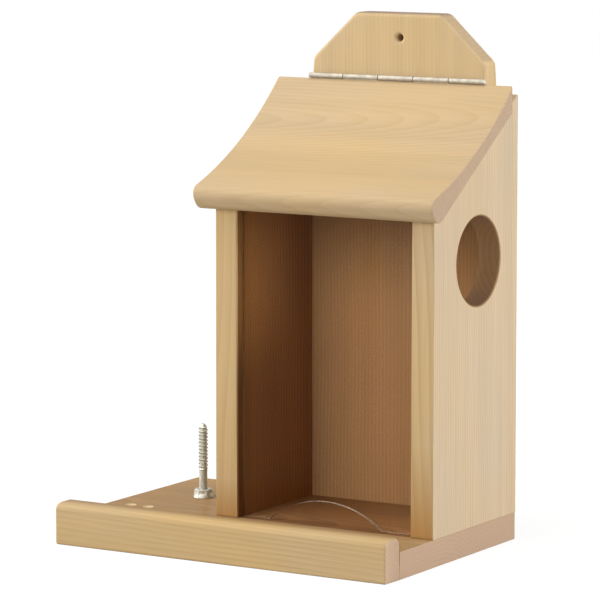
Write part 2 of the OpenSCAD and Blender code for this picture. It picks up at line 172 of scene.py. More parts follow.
class FeederWindow(bpy.types.PropertyGroup):
    """Clear front and its grooves."""

    groove_depth: length("Groove Depth", "Depth of the groove in each side", 0.006)
    groove_clear: length("Groove Clearance", "Clearance of the pane in its grooves", 0.0004)
    arch_width: length("Arch Width", "Width of the feeding arch", 0.098)
    arch_height: length("Arch Height", "Height of the feeding arch", 0.018)
    arch_left: length("Arch Left", "Arch's middle to the left of the pane's middle", 0.0035)
    edge_ease: length("Edge Easing", "Rounding of the pane's polished edges", 0.0003)
    tint: colour("Tint", "Colour of light through the pane", (0.97, 0.985, 0.98))
    sheet_ior: number("Sheet IOR", "Light bending of the pane, low so that it mirrors little", 1.08)
    edge_glow: colour("Cut Edge", "Colour of the pane's cut edges", srgb(148, 120, 94))
    edge_ior: number("Edge IOR", "Light bending of the pane's cut edges", 1.49)


class FeederHinge(bpy.types.PropertyGroup):
    """Long hinge between roof and hanging plate."""

    knuckles: bpy.props.IntProperty(
        name="Knuckles", description="Number of knuckles along the hinge", default=5, min=3
    )
    knuckle_gap: length("Knuckle Gap", "Gap between neighbouring knuckles", 0.0006)
    sheet: length("Sheet Thickness", "Thickness of the hinge leaves", 0.001)
    corner_round: length("Corner Rounding", "Rounding of the leaves' corners", 0.0012)
    root_round: length("Root Rounding", "Rounding of the leaves' corners at the knuckles", 0.0003)
    lap: length("Lap", "Depth to which the knuckles reach into the leaves", 0.002)
    meeting: angle("Meeting", "Angle below level at which the roof's leaf meets its knuckles", 20.0)
    bend: share("Bend", "Drop of that leaf's bend below the pin as a share of the barrel", 0.9)
    edge_ease: length("Edge Easing", "Rounding of the sheet's edges", 0.0002)
    pin_clear: length("Pin Clearance", "Radial clearance of the pin", 0.00005)


class FeederCobScrew(bpy.types.PropertyGroup):
    """Corn cob screw with its nuts and washer."""

    thread_length: length("Thread Length", "Length of the thread, point included", 0.038)
    point_length: length("Point Length", "Length of the screw's point", 0.0055)
    thread_pitch: length("Thread Pitch", "Rise of the thread in one turn", 0.0028)
    root_diameter: length("Root Diameter", "Diameter at the bottom of the thread", 0.0062)
    shank_diameter: length("Shank Diameter", "Diameter of the smooth shank", 0.0066)
    run_in: length("Run In", "Length over which the shank narrows to the thread's root", 0.0025)
    tip: length("Tip", "Radius of the screw's blunt tip", 0.0002)
    across_flats: length("Across Flats", "Width of the nuts across their flats", 0.0127)
    nut_clear: length("Nut Clearance", "Radial clearance of the nuts on the shank", 0.00005)
    nut_chamfer: length("Nut Chamfer", "Height of the chamfer at the nuts' ends", 0.0013)
    nut_crown: length("Nut Crown", "Height of the chamfer's flatter part", 0.0005)
    bore_chamfer: length("Bore Chamfer", "Chamfer of the nuts' bores", 0.0006)
    edge_break: length("Edge Break", "Broken edges of the nuts and the washer", 0.0004)
    flange_edge: length("Flange Edge", "Thickness of the flange at its edge", 0.0013)
    flange_break: length("Flange Break", "Broken edges of the flange", 0.0003)
    flange_slope: length("Flange Slope", "Height half way up the flange's slope", 0.0024)
    flange_rise: length("Flange Rise", "Height at which the flange meets the hexagon", 0.0036)


class FeederWood(bpy.types.PropertyGroup):
    """Clear-varnished softwood."""

    early: colour("Early Wood", "Pale wood of each year's ring", srgb(217, 187, 140))
    late: colour("Late Wood", "Darker wood of each year's ring", srgb(211, 178, 130))
    end_grain: colour("End Grain", "Tone of the boards' ends", srgb(200, 173, 150))
    # Painted shade: the box's inner faces are drawn darker and browner than the outside, from a little
    # behind the sides' front edges
    inside: colour("Inside", "Darkening of the box's inner faces", (0.46, 0.285, 0.185))
    inside_from: length("Inside From", "Inner darkening behind the sides' front edges", 0.003)
    inside_fade: length("Inside Fade", "Width over which the inner darkening fades out", 0.001)
    # Painted shade: the sides' front faces drawn darker towards their feet
    foot_shade: colour("Foot Stain", "Darkening at the sides' feet, in front", (0.77, 0.61, 0.41))
    left_shade_height: length("Left Stain Height", "Height of the stain at the left side's foot", 0.03)
    right_shade_height: length("Right Stain Height", "Height of the stain at the right side's foot", 0.07)
    # A darker band drawn along the back of the lip's top
    lip_back_dark: colour("Lip Stain", "Darkening along the back of the lip's top", (0.60, 0.54, 0.50))
    lip_back_dark_width: length("Lip Stain Width", "Width over which the lip's stain fades out", 0.014)
    raw: colour("Raw Wood", "Unvarnished wood in the drain holes", srgb(232, 208, 166))
    dowel: colour("Dowel Wood", "Raw dowel wood", srgb(214, 180, 134))
    ring_spacing: length("Ring Spacing", "Distance between year rings", 0.0032)
    sway: length("Sway", "Width by which the rings wander", 0.012)
    varnish: share("Varnish", "Strength of the varnish's gloss", 0.11)


class FeederMetal(bpy.types.PropertyGroup):
    """Zinc-plated and drawn steel."""

    zinc: colour("Zinc", "Bright zinc plate", srgb(196, 195, 184))
    zinc_dull: colour("Dull Zinc", "Dull patches of the plate", srgb(172, 170, 157))
    sheet: colour("Sheet", "Zinc plate of the hinge", srgb(190, 184, 171))
    sheet_dull: colour("Dull Sheet", "Dull patches of the hinge", srgb(170, 164, 152))
    wire: colour("Wire", "Drawn steel of the hinge pin", srgb(196, 196, 194))
    screw: colour("Screw Steel", "Plated steel of the small screws", srgb(200, 198, 188))


class FeederStage(bpy.types.PropertyGroup):
    """Camera, floor and lights."""

    camera_place: spot("Camera Place", "Where the camera stands", (1.44019, -2.36883, 0.55594))
    camera_azimuth: angle("Camera Azimuth", "Turn of the camera to the right of the front", 31.135)
    camera_elevation: angle("Camera Elevation", "Tilt of the camera below the horizon", 7.552)
    camera_lens: number("Camera Lens", "Focal length of the camera", 219.26, unit="CAMERA")
    camera_reach: length("Camera Reach", "Distance up to which the camera sees", 50.0)
    floor: colour("Floor", "Colour of the floor", (0.5, 0.5, 0.5))
    floor_reach: length("Floor Reach", "Half the width of the floor", 12.0)
    floor_shade: colour("Floor Shade", "Part of the floor's white that takes shadows", (0.22, 0.22, 0.22))
    floor_glow: share("Floor Glow", "Part of the floor's white that takes none, at the feeder", 0.87)
    glow_near: length("Glow Near", "Distance at which that part starts to rise to full white", 0.3)
    glow_far: length("Glow Far", "Distance at which it is full white", 1.0)
    sky: share("Sky", "Strength of the even light from all sides", 0.05)
    right: power("Right Lamp", "Low lamp on the right, a little behind", 46.5)
    left: power("Left Lamp", "Low lamp on the left", 28.0)
    front: power("Front Lamp", "Lamp in front", 21.0)
    high: power("High Lamp", "High lamp in front on the left", 15.0)
    top: power("Top Lamp", "Lamp above", 24.0)
    lamp_aim: spot("Lamp Aim", "Place that the lamps point at", (0.02, 0.0, 0.18))
    lamp_size: length("Lamp Size", "Width of each square lamp", 1.3)
    lamp_distance: length("Lamp Distance", "Distance of each lamp from the feeder", 2.4)


SETTINGS = {
    "feeder_boards": FeederBoards,
    "feeder_roof": FeederRoof,
    "feeder_window": FeederWindow,
    "feeder_hinge": FeederHinge,
    "feeder_cob_screw": FeederCobScrew,
    "feeder_wood": FeederWood,
    "feeder_metal": FeederMetal,
    "feeder_stage": FeederStage,
}


def add_mesh(name, shape, place=None):
    """New object from a bmesh, put where the matrix says with its place kept in its mesh."""
    bmesh.ops.recalc_face_normals(shape, faces=shape.faces)
    mesh = bpy.data.meshes.new(name)
    shape.to_mesh(mesh)
    shape.free()
    if place is not None:
        mesh.transform(place)
    piece = bpy.data.objects.new(name, mesh)
    bpy.context.scene.collection.objects.link(piece)
    return piece


def bake(piece):
    """Turns the piece's modifiers into its mesh."""
    made = bpy.data.meshes.new_from_object(
        piece.evaluated_get(bpy.context.evaluated_depsgraph_get())
    )
    old, piece.data = piece.data, made
    piece.modifiers.clear()
    made.name = piece.name
    bpy.data.meshes.remove(old)


def combine(piece, others, operation="DIFFERENCE"):
    """Cuts other solids out of a piece, or joins them to it, and removes them."""
    for other in others:
        change = piece.modifiers.new("combine", "BOOLEAN")
        change.operation, change.solver = operation, "EXACT"
        change.material_mode = "TRANSFER" if other.data.materials else "INDEX"
        change.object = other
        bake(piece)
        bpy.data.objects.remove(other)


def smooth(piece):
    """Smooth shading that keeps flat faces flat and hard edges sharp."""
    piece.data.shade_smooth()
    piece.data.set_sharp_from_angle(angle=CREASE)
    even = piece.modifiers.new("even", "WEIGHTED_NORMAL")
    even.keep_sharp, even.weight = True, 100
    bake(piece)


def merge(shape):
    """Merges the points of a bmesh that lie almost on top of each other."""
    bmesh.ops.remove_doubles(shape, verts=shape.verts, dist=MERGE)
    bmesh.ops.dissolve_degenerate(shape, edges=shape.edges, dist=MERGE)


def clean(piece):
    """Removes the slivers that the cuts left in a piece."""
    shape = bmesh.new()
    shape.from_mesh(piece.data)
    merge(shape)
    shape.to_mesh(piece.data)
    shape.free()


def dress(piece, body, slot, finishes, *nodes):
    """Gives a finished piece its materials and its body, and hides the CAD nodes it stands for."""
    if not piece.data.polygons:
        raise RuntimeError(f"{piece.name} has no faces left after its cuts")
    if not piece.data.materials:
        for finish in finishes:
            piece.data.materials.append(finish)
    clean(piece)
    smooth(piece)
    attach(piece, body)
    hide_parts(*nodes)


def rectangle(left, low, right, high):
    return [Vector(p) for p in ((left, low), (right, low), (right, high), (left, high))]


def arc(centre, radius, start, end, steps):
    """Points from one angle to another round a centre."""
    turns = (start + (end - start) * step / steps for step in range(steps + 1))
    return [Vector(centre) + Vector((math.cos(t), math.sin(t))) * radius for t in turns]


def hole(centre, radius, steps=96):
    """Outline of a round hole, clockwise."""
    return arc(centre, radius, 2 * math.pi, 0, steps)[:-1]


def neighbours(loop):
    return zip(loop[-1:] + loop[:-1], loop, loop[1:] + loop[:1])


def soften(loop, radii, steps=5):
    """Outline with its sharp corners rounded, by one radius or by one for each corner."""
    if isinstance(radii, float):
        radii = [radii] * len(loop)
    soft = []
    for (before, corner, after), radius in zip(neighbours(loop), radii):
        back, ahead = (before - corner).normalized(), (after - corner).normalized()
        turn = math.pi - back.angle(ahead)
        if turn < SHARP_TURN:
            soft.append(corner)
            continue
        left_turn = ahead.x * back.y - ahead.y * back.x > 0
        centre = corner + (back + ahead).normalized() * radius / math.cos(turn / 2)
        first = corner + back * radius * math.tan(turn / 2) - centre
        start = math.atan2(first.y, first.x)
        soft += arc(centre, radius, start, start + (turn if left_turn else -turn), steps)
    return soft


def outward(loop):
    """Step out of the wood that moves both edges at each point by one, the wood on the left."""
    steps = []
    for before, point, after in neighbours(loop):
        first, second = (point - before).normalized(), (after - point).normalized()
        way = (first + second).normalized()
        steps.append(Vector((way.y, -way.x)) / way.dot(first))
    return steps


def eased_board(name, loops, thickness, ease, place, steps=4, rim_finish=(0, 0)):
    """Board with rounded edges from flat outlines, the first counter-clockwise, holes clockwise.

    ease is a length, or gives one for each point. rim_finish holds the material index of each
    outline's rim.
    """
    ease_at = ease if callable(ease) else lambda point: ease
    quarter = [math.pi / 2 * step / steps for step in range(steps + 1)]
    levels = [(0, 1 - math.sin(t), 1 - math.cos(t)) for t in quarter]
    levels += [(thickness, 1 - math.sin(t), math.cos(t) - 1) for t in reversed(quarter)]
    shape = bmesh.new()
    low_rings, high_rings = [], []
    for loop, finish in zip(loops, rim_finish):
        edge = list(zip(loop, outward(loop), map(ease_at, loop)))
        rings = [
            [shape.verts.new((*(point - way * e * inset), base + e * rise)) for point, way, e in edge]
            for base, inset, rise in levels
        ]
        for low, high in zip(rings, rings[1:]):
            for here, ahead in zip(range(-1, len(loop) - 1), range(len(loop))):
                rim = shape.faces.new((low[here], low[ahead], high[ahead], high[here]))
                rim.material_index = finish
        low_rings.append(rings[0])
        high_rings.append(rings[-1])
    for rings in (low_rings, high_rings):
        corners = [corner for ring in rings for corner in ring]
        for triangle in tessellate_polygon([[corner.co for corner in ring] for ring in rings]):
            shape.faces.new([corners[i] for i in triangle])
    return add_mesh(name, shape, place)


def turned(name, profile, place, steps=48, closed=False):
    """Solid turned about Z from (radius, height) points; a radius may depend on the angle."""
    shape = bmesh.new()
    turns = [2 * math.pi * step / steps for step in range(steps)]
    rings = []
    for radius, height in profile:
        if radius == 0:
            rings.append([shape.verts.new((0, 0, height))])
            continue
        reach = [radius(t) if callable(radius) else radius for t in turns]
        rings.append([
            shape.verts.new((r * math.cos(t), r * math.sin(t), height))
            for r, t in zip(reach, turns)
        ])
    pairs = list(zip(rings, rings[1:])) + ([(rings[-1], rings[0])] if closed else [])
    for low, high in pairs:
        for here, ahead in zip(range(-1, steps - 1), range(steps)):
            corners = [ring[i % len(ring)] for ring, i in
                       ((low, here), (low, ahead), (high, ahead), (high, here))]
            shape.faces.new(list(dict.fromkeys(corners)))
    return add_mesh(name, shape, place)


def block(name, low, high):
    """Plain box to cut with."""
    shape = bmesh.new()
    bmesh.ops.create_cube(shape, size=1.0)
    size = Vector(high) - Vector(low)
    place = Matrix.Translation((Vector(low) + Vector(high)) / 2) @ Matrix.Diagonal((*size, 1))
    return add_mesh(name, shape, place)


def solids(node):
    """Lowest and highest corner of each separate solid of a CAD node."""
    shape = bmesh.new()
    shape.from_mesh(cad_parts[node].data)
    bmesh.ops.remove_doubles(shape, verts=shape.verts, dist=MERGE)
    waiting = set(shape.verts)
    found = []
    while waiting:
        edge = [waiting.pop()]
        solid = []
        while edge:
            corner = edge.pop()
            solid.append(corner.co.copy())
            nearby = {e.other_vert(corner) for e in corner.link_edges} & waiting
            waiting -= nearby
            edge += nearby
        found.append(tuple(
            Vector(pick(co[axis] for co in solid) for axis in range(3)) for pick in (min, max)
        ))
    shape.free()
    return sorted(found, key=lambda box: tuple(box[0]))


def drill(piece, fixings, way, shank_share):
    """Cuts the holes of a node's screws or dowels, driven along a unit vector, into a piece."""
    way = Vector(way)
    axis = max(range(3), key=lambda i: abs(way[i]))
    cutters = []
    for low, high in solids(fixings):
        depth = high[axis] - low[axis]
        head = (high - low)[(axis + 1) % 3] / 2
        shank = head * shank_share
        start = (low + high) / 2 - way * depth / 2
        place = Matrix.Translation(start) @ way.to_track_quat("Z", "Y").to_matrix().to_4x4()
        profile = [(0, -PAST), (head, -PAST), (head, 0), (shank, head - shank + RING_STEP),
                   (shank, depth + PAST), (0, depth + PAST)]
        cutters.append(turned("hole", profile, place, steps=32))
    combine(piece, cutters)


def feed(tree, made, inputs):
    """Sets the inputs of a shader node, each to a value or to the socket that it is linked to."""
    for key, value in inputs.items():
        if isinstance(value, bpy.types.NodeSocket):
            tree.links.new(value, made.inputs[key])
        else:
            made.inputs[key].default_value = value


def node(tree, kind, inputs=None, **settings):
    """New shader node with its settings and its inputs."""
    made = tree.nodes.new(kind)
    for key, value in settings.items():
        setattr(made, key, value)
    feed(tree, made, inputs or {})
    return made


def maths(tree, operation, *values, clamp=False):
    return node(
        tree, "ShaderNodeMath", dict(enumerate(values)), operation=operation, use_clamp=clamp
    ).outputs[0]


def spread(tree, value, from_low, from_high, to_low, to_high):
    """Value moved from one range to another and kept inside it."""
    return node(tree, "ShaderNodeMapRange", {
        "Value": value, "From Min": from_low, "From Max": from_high,
        "To Min": to_low, "To Max": to_high,
    }).outputs["Result"]


def noise(tree, vector, scale=1.0, detail=2.0, roughness=0.5):
    return node(tree, "ShaderNodeTexNoise", {
        "Vector": vector, "Scale": scale, "Detail": detail, "Roughness": roughness,
    }).outputs


def blend(tree, factor, first, second, kind="MIX"):
    """Mix of two colours."""
    return node(
        tree, "ShaderNodeMix", {0: factor, 6: first, 7: second}, data_type="RGBA", blend_type=kind
    ).outputs[2]


def ramp(tree, factor, stops):
    """Colour ramp through (place, colour) stops."""
    made = node(tree, "ShaderNodeValToRGB", {"Fac": factor})
    points = made.color_ramp.elements
    while len(points) < len(stops):
        points.new(0.5)
    for point, (place, tone) in zip(points, stops):
        point.position, point.color = place, (*tone, 1.0)
    return made.outputs["Color"]


def tinted(tree, tone, value=1.0, saturation=1.0):
    """Colour with its lightness and its strength changed."""
    return node(tree, "ShaderNodeHueSaturation", {
        "Color": tone, "Value": value, "Saturation": saturation,
    }).outputs["Color"]


def relief(tree, height, strength, distance):
    """Normal of a surface with a fine relief."""
    return node(tree, "ShaderNodeBump", {
        "Height": height, "Strength": strength, "Distance": distance,
    }).outputs["Normal"]


def on_piece(tree):
    """Place on the piece in its own frame."""
    return node(tree, "ShaderNodeTexCoord").outputs["Object"]


def new_finish(name):
    """New material with its node tree and its shader."""
    finish = bpy.data.materials.new(name)
    finish.use_nodes = True
    tree = finish.node_tree
    return finish, tree, tree.nodes["Principled BSDF"]


def show(tree, output, factor, first, second):
    """Shows a mix of two shaders as the tree's surface."""
    mixed = node(tree, "ShaderNodeMixShader", {
        0: factor, 1: first.outputs[0], 2: second.outputs[0],
    })
    tree.links.new(mixed.outputs[0], tree.nodes[output].inputs["Surface"])


def edge_mask(tree, radius, low, high):
    """1 along the edges of a piece, fading to 0 on its faces."""
    soft = node(tree, "ShaderNodeBevel", {"Radius": radius}, samples=4)
    sharp = node(tree, "ShaderNodeNewGeometry")
    agree = node(
        tree, "ShaderNodeVectorMath",
        {0: soft.outputs["Normal"], 1: sharp.outputs["Normal"]}, operation="DOT_PRODUCT",
    ).outputs["Value"]
    return spread(tree, agree, high, low, 0.0, 1.0)


def inner_space(tree, place):
    """1 on the faces round the food, 0 elsewhere, where shade is painted inside the box."""
    looks = bpy.context.scene.feeder_wood
    slope = math.tan(bpy.context.scene.feeder_roof.pitch)
    side_low, side_high = BOX["left_side"]
    # Height above the slope of the roof's underside, which has no lower limit
    above = maths(tree, "MULTIPLY_ADD", place.outputs["Y"], -slope, place.outputs["Z"])
    far_below = -1.0
    inside = 1.0
    for value, low, high in (
        (place.outputs["X"], side_high.x, BOX["right_side"][0].x),
        (place.outputs["Y"], side_low.y + looks.inside_from, BOX["back_board"][0].y),
        (place.outputs["Z"], side_low.z, side_high.z),
        (above, far_below, side_high.z - slope * side_high.y),
    ):
        half = (high - low) / 2
        off = maths(tree, "ABSOLUTE", maths(tree, "SUBTRACT", value, low + half))
        fade = half + looks.inside_fade / 2
        near = spread(tree, off, fade, fade + looks.inside_fade, 1.0, 0.0)
        inside = maths(tree, "MULTIPLY", near, inside)
    return inside


def year_rings(tree, grain, crossings, heart, lean, sway, streaks):
    """Place inside a year's ring, from 0 to 1, in wood whose rings wander."""
    looks = bpy.context.scene.feeder_wood
    from_heart = []
    for side, cross in enumerate(crossings):
        shifted = maths(tree, "SUBTRACT", cross, heart[side] + looks.sway / 2)
        shifted = maths(tree, "MULTIPLY_ADD", grain, -lean[side], shifted)
        swayed = maths(tree, "MULTIPLY_ADD", sway.outputs[side], looks.sway, shifted)
        from_heart.append(maths(tree, "MULTIPLY", swayed, swayed))
    radius = maths(tree, "SQRT", maths(tree, "ADD", *from_heart))
    rings = maths(tree, "DIVIDE", radius, looks.ring_spacing)
    return maths(tree, "FRACT", maths(tree, "MULTIPLY_ADD", streaks, 0.5, rings))


def with_dark_band(tree, figure, place, normal, dark_band, front_only):
    """Wood with a darker band that fades out along an axis."""
    tone, axis, full, clear = dark_band
    near = spread(tree, place.outputs[axis], full, clear, 1.0, 0.0)
    if front_only:
        front = spread(tree, normal.outputs["Y"], -0.9, -0.6, 1.0, 0.0)
        near = maths(tree, "MULTIPLY", near, front)
    return blend(tree, near, figure, (*tone, 1.0), "MULTIPLY")


def sawn_end(tree, figure, fibres, phase, lightness):
    """End grain with its pores."""
    tone = blend(tree, 0.75, figure, (*bpy.context.scene.feeder_wood.end_grain, 1.0))
    pores = maths(tree, "MULTIPLY_ADD", fibres, 0.35 * lightness, 0.85 * lightness)
    return tinted(tree, tone, maths(tree, "MULTIPLY_ADD", phase, -0.06 * lightness, pores))


def with_inner_shade(tree, figure, place, phase, inner_shade, dark):
    """Wood with painted shade on the faces round the food, or by one share all over."""
    # Painted shade: a darker, browner tone mixed in by the mask or by one share
    tone = blend(tree, 1.0, figure, (*bpy.context.scene.feeder_wood.inside, 1.0), "MULTIPLY")
    if dark is None:
        tone = tinted(tree, tone, maths(tree, "MULTIPLY_ADD", phase, -0.2, 1.1))
        dark = maths(tree, "MULTIPLY", inner_space(tree, place), inner_shade)
    return blend(tree, dark, figure, tone)


def wood(name, along, heart, lean=(0.0, 0.0), seed=0.0, tone=(1.0, 1.0, 1.0), pale=0.0,
         ends=1.0, bold=1.0, inner_shade=1.0, dark=None, raw=None, dark_band=None, front_only=False):
    """Varnished softwood cut from a log whose heart runs along X or Z past the board.

    heart is the heart's place across the grain at 0 along it, lean its drift along the grain,
    seed picks the figure, tone is the wood's tint, pale the share of painted sheen that draws faces
    which look along X paler and less saturated, ends the lightness of the end grain, bold the
    contrast of the rings, used the share of painted shade on the faces round the food, dark a share
    of that painted shade for the whole surface instead, raw the colour of unvarnished wood, stain a
    darker band's colour, its axis and the two places between which it fades out, and front_only
    keeps that band on faces that look to the front.
    """
    looks = bpy.context.scene.feeder_wood
    finish, tree, shader = new_finish(name)
    where = node(tree, "ShaderNodeTexCoord")
    place = node(tree, "ShaderNodeSeparateXYZ", {0: where.outputs["Object"]})
    normal = node(tree, "ShaderNodeSeparateXYZ", {0: where.outputs["Normal"]})
    order = {"X": (0, 1, 2), "Z": (2, 0, 1)}[along]
    grain, across, deep = (place.outputs[i] for i in order)

    def drawn(along_scale, across_scale, shift, **kind):
        """Noise that is drawn out along the grain."""
        stretched = node(tree, "ShaderNodeCombineXYZ", {
            0: maths(tree, "MULTIPLY_ADD", grain, along_scale, seed + shift),
            1: maths(tree, "MULTIPLY", across, across_scale),
            2: maths(tree, "MULTIPLY", deep, across_scale),
        })
        return noise(tree, stretched.outputs[0], **kind)

    sway = node(tree, "ShaderNodeSeparateColor", {0: drawn(3.2, 11.0, 3.0, detail=1.5)["Color"]})
    streaks = drawn(2.4, 70.0, 11.0, detail=3.0)["Fac"]
    fibres = drawn(22.0, 900.0, 17.0, detail=3.0, roughness=0.6)["Fac"]
    cloud = drawn(7.0, 16.0, 23.0)["Fac"]
    patches = drawn(5.0, 9.0, 31.0)["Fac"]
    phase = year_rings(tree, grain, (across, deep), heart, lean, sway, streaks)

    early, late = (
        tuple(min(1.0, t * c) for t, c in zip(tone, raw or part)) for part in (looks.early, looks.late)
    )
    mid, plain = (
        tuple((1 - part) * e + part * l for e, l in zip(early, late)) for part in (0.45, 0.25)
    )
    figure = ramp(tree, phase, [
        (0.0, early), (0.45, early), (0.74, mid), (0.9, late), (0.95, late), (1.0, early),
    ])
    strength = spread(tree, patches, 0.4, 0.6, 0.25 * bold, bold)
    figure = blend(tree, strength, (*plain, 1.0), figure)
    shade = maths(tree, "MULTIPLY_ADD", streaks, 0.26, 0.72 + 0.035 * bold)
    for value, weight in ((phase, -0.07 * bold), (fibres, 0.18), (cloud, 0.12)):
        shade = maths(tree, "MULTIPLY_ADD", value, weight, shade)
    figure = tinted(tree, figure, shade, spread(tree, cloud, 0.3, 0.7, 0.94, 1.08))
    # Painted sheen: faces that look along X are drawn paler and less saturated
    wide = spread(tree, maths(tree, "ABSOLUTE", normal.outputs["X"]), 0.6, 0.95, 0.0, pale)
    figure = blend(tree, wide, figure, tinted(tree, figure, 1.08, 0.72))
    if dark_band is not None:
        figure = with_dark_band(tree, figure, place, normal, dark_band, front_only)
    end = spread(tree, maths(tree, "ABSOLUTE", normal.outputs[order[0]]), 0.5, 0.95, 0.0, 1.0)
    figure = blend(tree, end, figure, sawn_end(tree, figure, fibres, phase, ends))
    worn = edge_mask(tree, 0.0012, 0.80, 0.985)
    figure = blend(tree, maths(tree, "MULTIPLY", worn, 0.22), figure, (*early, 1.0))

    dull = maths(tree, "MULTIPLY_ADD", streaks, 0.14, 0.42)
    dull = maths(tree, "MULTIPLY_ADD", worn, 0.1, dull)
    feed(tree, shader, {
        "Base Color": with_inner_shade(tree, figure, place, phase, inner_shade, dark),
        "Roughness": maths(tree, "MULTIPLY_ADD", end, 0.16, dull),
        "Normal": relief(tree, maths(tree, "MULTIPLY_ADD", phase, 0.5, fibres), 0.16, 0.0003),
        "Coat Weight": 0.0 if raw else looks.varnish,
        "Coat Roughness": 0.16,
        "Specular IOR Level": 0.0,
    })
    return finish


def metal(name, bright, dull, grain, roughness, scratch_axis=None):
    """Plated or drawn steel with dull patches, about grain in a metre, scratches and rubbed edges."""
    finish, tree, shader = new_finish(name)
    place = on_piece(tree)
    cloud = noise(tree, place, scale=grain, detail=4.0, roughness=0.6)["Fac"]
    stretch = [SCRATCHES_ACROSS] * 3
    if scratch_axis is not None:
        stretch[scratch_axis] = SCRATCHES_ALONG
    drawn = node(tree, "ShaderNodeVectorMath", {0: place, 1: stretch}, operation="MULTIPLY")
    scratches = noise(tree, drawn.outputs[0])["Fac"]
    worn = edge_mask(tree, 0.0003, 0.75, 0.97)
    tone = blend(tree, spread(tree, cloud, 0.38, 0.66, 0.0, 1.0), (*bright, 1.0), (*dull, 1.0))
    rough = maths(tree, "MULTIPLY_ADD", cloud, 0.18, roughness - 0.09)
    feed(tree, shader, {
        "Base Color": blend(tree, maths(tree, "MULTIPLY", worn, 0.5), tone, (*bright, 1.0)),
        "Roughness": maths(tree, "MULTIPLY_ADD", scratches, 0.08, rough),
        "Normal": relief(tree, scratches, 0.12, 0.0001),
        "Metallic": 1.0,
    })
    return finish


def acrylic(name):
    """Clear sheet with faint wiping marks, which lets lamp light pass without a shadow."""
    looks = bpy.context.scene.feeder_window
    finish, tree, shader = new_finish(name)
    smears = noise(tree, on_piece(tree), scale=26.0)["Fac"]
    feed(tree, shader, {
        "Base Color": (*looks.tint, 1.0),
        "Roughness": spread(tree, smears, 0.5, 0.8, 0.0, 0.004),
        "Transmission Weight": 1.0,
        "IOR": looks.sheet_ior,
    })
    path = node(tree, "ShaderNodeLightPath").outputs
    clear = node(tree, "ShaderNodeBsdfTransparent")
    show(tree, "Material Output", path["Is Shadow Ray"], shader, clear)
    return finish


def acrylic_edge(name):
    """Sawn and flamed edge of the clear sheet, which gathers light."""
    looks = bpy.context.scene.feeder_window
    finish, tree, shader = new_finish(name)
    marks = noise(tree, on_piece(tree), scale=700.0)["Fac"]
    dim = tuple(0.8 * c for c in looks.edge_glow)
    feed(tree, shader, {
        "Base Color": blend(tree, marks, (*looks.edge_glow, 1.0), (*dim, 1.0)),
        "Roughness": spread(tree, marks, 0.3, 0.7, 0.16, 0.34),
        "Transmission Weight": 0.45,
        "IOR": looks.edge_ior,
    })
    return finish


class FEEDER_OT_base_board(bpy.types.Operator):
    """Make the base board with its drain holes and the holes of its fixings"""

    bl_idname = "feeder.base_board"
    bl_label = "Base Board"

    def execute(self, context):
        boards = context.scene.feeder_boards
        low, high = BOX["base_board"]
        at_lip = boards.joint_ease * 1.2
        outline = soften(
            rectangle(low.x, low.y, high.x, high.y),
            [at_lip, at_lip, boards.back_corner, boards.back_corner],
        )

        def ease(point):
            at_joint = point.y < low.y + at_lip or point.x > high.x - boards.back_corner / 2
            return boards.joint_ease if at_joint else boards.base_ease

        board = eased_board("base_board_eased", [outline], high.z - low.z, ease, Matrix())
        # Part of the board's dark tone is painted shade on the platform, with its end grain lightened
        # back, and its faces round the food get painted shade
        grown = wood("base_pine", "X", (-0.02, -0.06), (0.0, -0.05), 1.7, (0.69, 0.61, 0.57),
                     ends=1.1, inner_shade=0.78)
        board.data.materials.append(grown)
        combine(board, self.drains(boards, low, high))
        combine(board, self.bolt_hole(context, low, high))
        drill(board, "base_screws_sides", (0, 0, 1), WOOD_SCREW)
        drill(board, "base_screws_back", (0, 0, 1), WOOD_SCREW)
        drill(board, "lip_dowels", (0, 1, 0), DOWEL)
        dress(board, "box", "base_wood", [grown], "base_board")
        return {"FINISHED"}

    @staticmethod
    def drains(boards, low, high):
        """Cutters of the two countersunk drain holes."""
        raw = wood("raw_pine", "X", (-0.02, -0.06), seed=1.7, raw=bpy.context.scene.feeder_wood.raw)
        r, sink = boards.drain_diameter / 2, boards.drain_sink / 2
        flare = sink - r
        profile = [(0, low.z - PAST), (r, low.z - PAST), (r, high.z - flare),
                   (sink, high.z), (sink + PAST, high.z + PAST), (0, high.z + PAST)]
        cutters = []
        for side in (-0.5, 0.5):
            x = low.x + boards.drain_from_end + side * boards.drain_pitch
            place = Matrix.Translation((x, low.y + boards.drain_from_lip, 0))
            cutter = turned("drain", profile, place)
            cutter.data.materials.append(raw)
            cutters.append(cutter)
        return cutters

    @staticmethod
    def bolt_hole(context, low, high):
        """Cutters of the cob screw's hole and of the recess under it."""
        bolt_low, bolt_high = BOX["cob_screw"]
        x, y = (bolt_low.x + bolt_high.x) / 2, (bolt_low.y + bolt_high.y) / 2
        boards = context.scene.feeder_boards
        bore = context.scene.feeder_cob_screw.shank_diameter / 2 + boards.bolt_clear
        recess, top = boards.counterbore / 2, BOX["cob_washer"][1].z
        profile = [(0, low.z - PAST), (recess, low.z - PAST), (recess, top), (bore, top),
                   (bore, high.z + PAST), (0, high.z + PAST)]
        return [turned("bolt_hole", profile, Matrix.Translation((x, y, 0)))]


